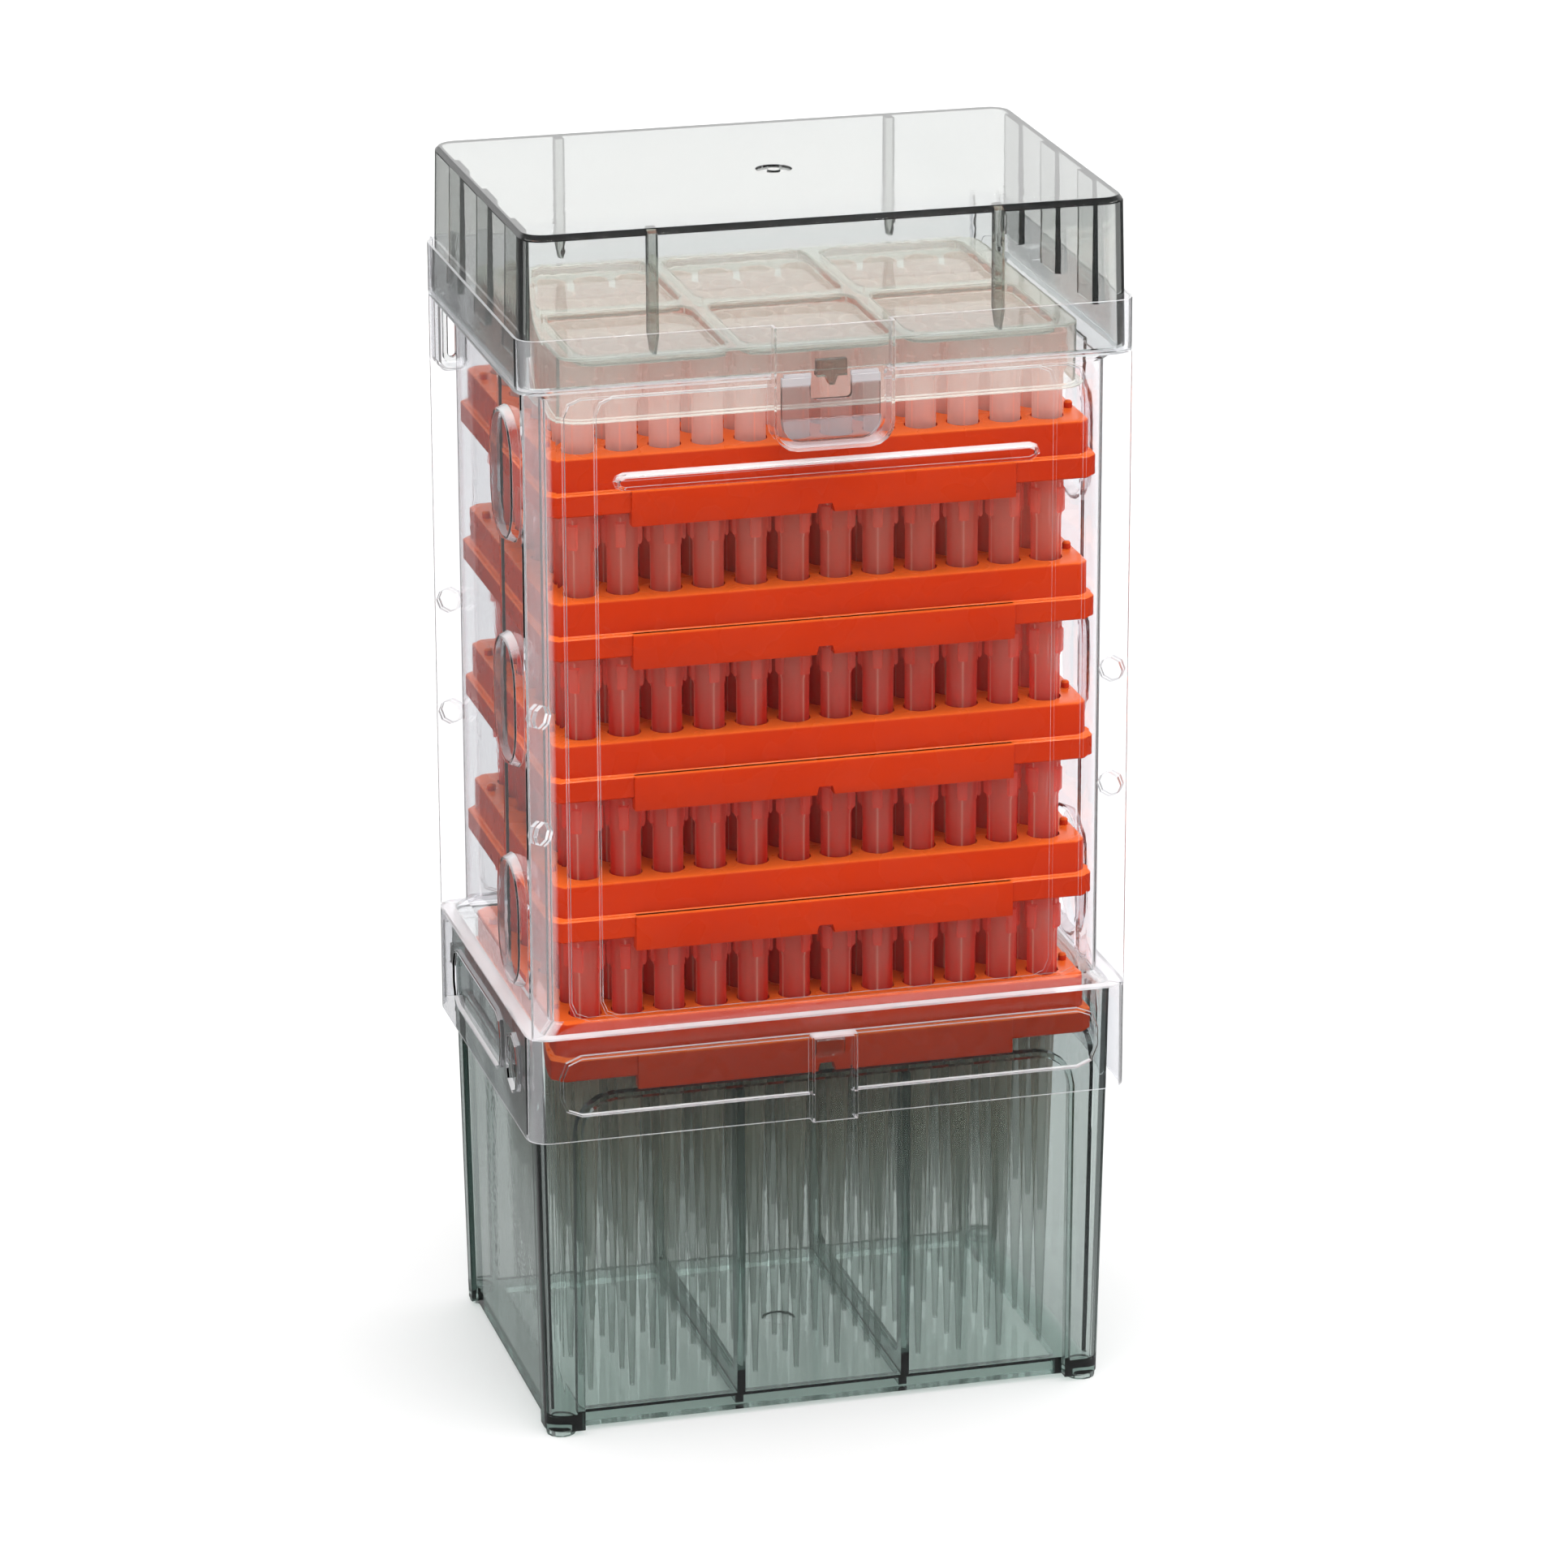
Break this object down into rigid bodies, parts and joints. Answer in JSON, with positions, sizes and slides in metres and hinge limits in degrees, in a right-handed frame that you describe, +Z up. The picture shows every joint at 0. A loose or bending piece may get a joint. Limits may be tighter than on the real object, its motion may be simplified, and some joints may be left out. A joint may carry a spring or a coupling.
{
  "type": "pipette tip refill tower",
  "caption": "Refill tower of nested pipette tips in orange racks inside a clear thermoformed sleeve, standing on a smoke-clear tip box with its lid and latch on top.",
  "frame": {"origin": "middle of the footprint, on the surface that the feet stand on", "axes": "+Z up, +X to the right along the twelve columns of tips, -Y at the front where the latch is"},
  "size_m": [0.129, 0.095, 0.2603],
  "materials": {
    "smoke_plastic": "glossy clear smoke-grey moulding",
    "clear_sheet": "glossy clear thermoformed sheet",
    "orange_plastic": "satin orange moulding"
  },
  "bodies": {
    "tower": {"base": "smoke_plastic", "sleeve": "clear_sheet", "rack_1": "orange_plastic", "rack_2": "orange_plastic", "rack_3": "orange_plastic", "rack_4": "orange_plastic", "rack_5": "orange_plastic", "tip_tray": "clear_sheet", "lid": "smoke_plastic"},
    "latch": {"lid_latch": "smoke_plastic"}
  },
  "joints": [
    {"name": "latch_swing", "type": "hinge", "parent": "tower", "child": "latch", "pos_m": [0, -0.0443, 0.2282], "axis": [-1, 0, 0], "range_deg": [-6, 5.5], "stiffness_Nm_per_rad": 0.001}
  ]
}
